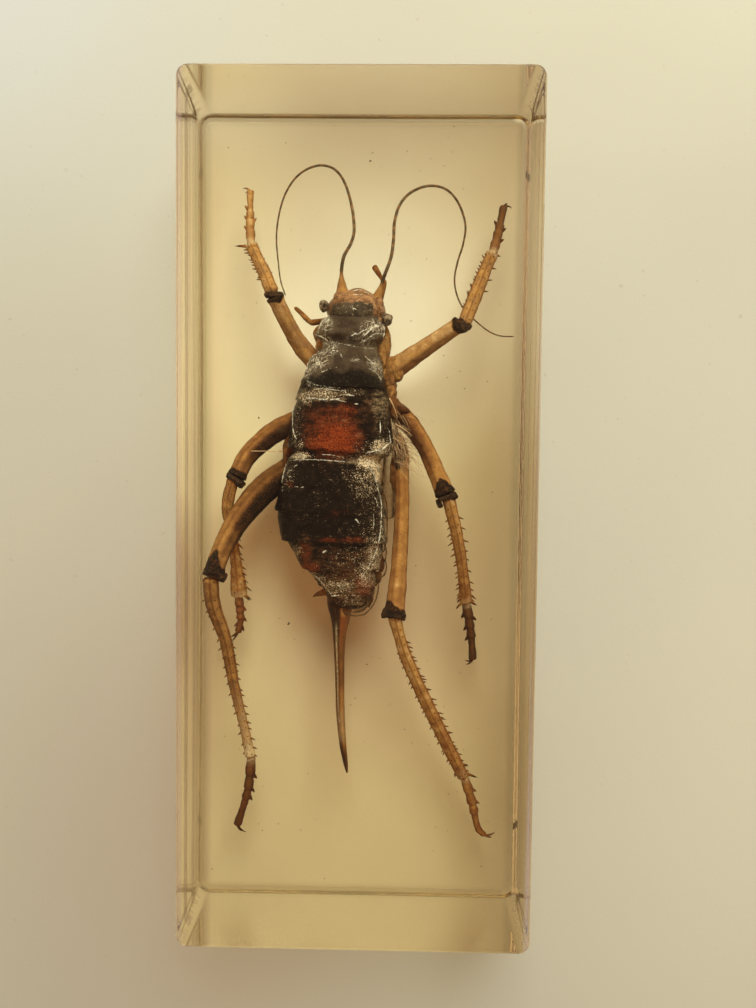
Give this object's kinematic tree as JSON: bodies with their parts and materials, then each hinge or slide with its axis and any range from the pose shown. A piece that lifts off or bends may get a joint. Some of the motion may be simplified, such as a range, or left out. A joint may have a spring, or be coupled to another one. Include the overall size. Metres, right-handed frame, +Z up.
{
  "type": "insect in resin block",
  "caption": "Clear resin bar with rounded edges holding a dried long-legged bush-cricket, back up, with thread antennae and a straight egg-layer.",
  "frame": {"origin": "centre of the block's flat base", "axes": "+Y along the block toward the insect's head, +X to the insect's right side, +Z up through its back"},
  "size_m": [0.045, 0.11, 0.021],
  "materials": {
    "resin": "clear cast resin, polished, faint yellow",
    "insect": "dry insect shell, satin, dark brown with ochre legs"
  },
  "bodies": {
    "root": {"resin_lower_half": "resin", "resin_upper_half": "resin", "insect": "insect"}
  },
  "joints": []
}
